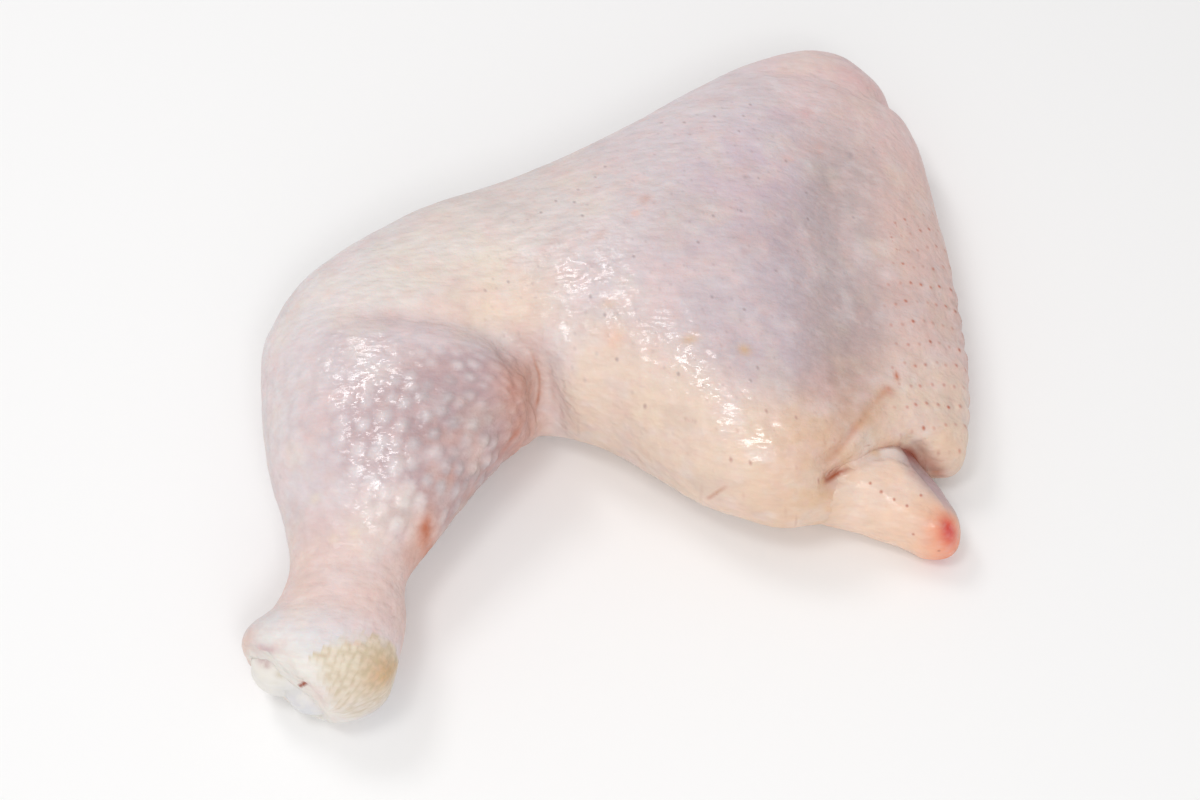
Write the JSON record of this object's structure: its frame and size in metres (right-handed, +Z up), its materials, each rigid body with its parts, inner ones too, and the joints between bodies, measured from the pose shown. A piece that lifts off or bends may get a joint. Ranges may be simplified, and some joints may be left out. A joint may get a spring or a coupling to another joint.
{
  "type": "raw chicken leg quarter",
  "caption": "Raw, skin-on chicken leg quarter lying skin side up, bent at the knee, with a fold of flank skin and the hock cut at the joint.",
  "frame": {"origin": "on the surface the leg lies on, in the middle of its outline box", "axes": "+Z up through the skin side; the hock points towards -Y, the bend of the knee towards -X and the hip towards +X and +Y"},
  "size_m": [0.1706, 0.1803, 0.0481],
  "materials": {
    "skin": "moist raw skin",
    "cartilage": "wet, smooth"
  },
  "bodies": {
    "root": {"leg": "skin", "hock_cartilage": "cartilage"}
  },
  "joints": []
}
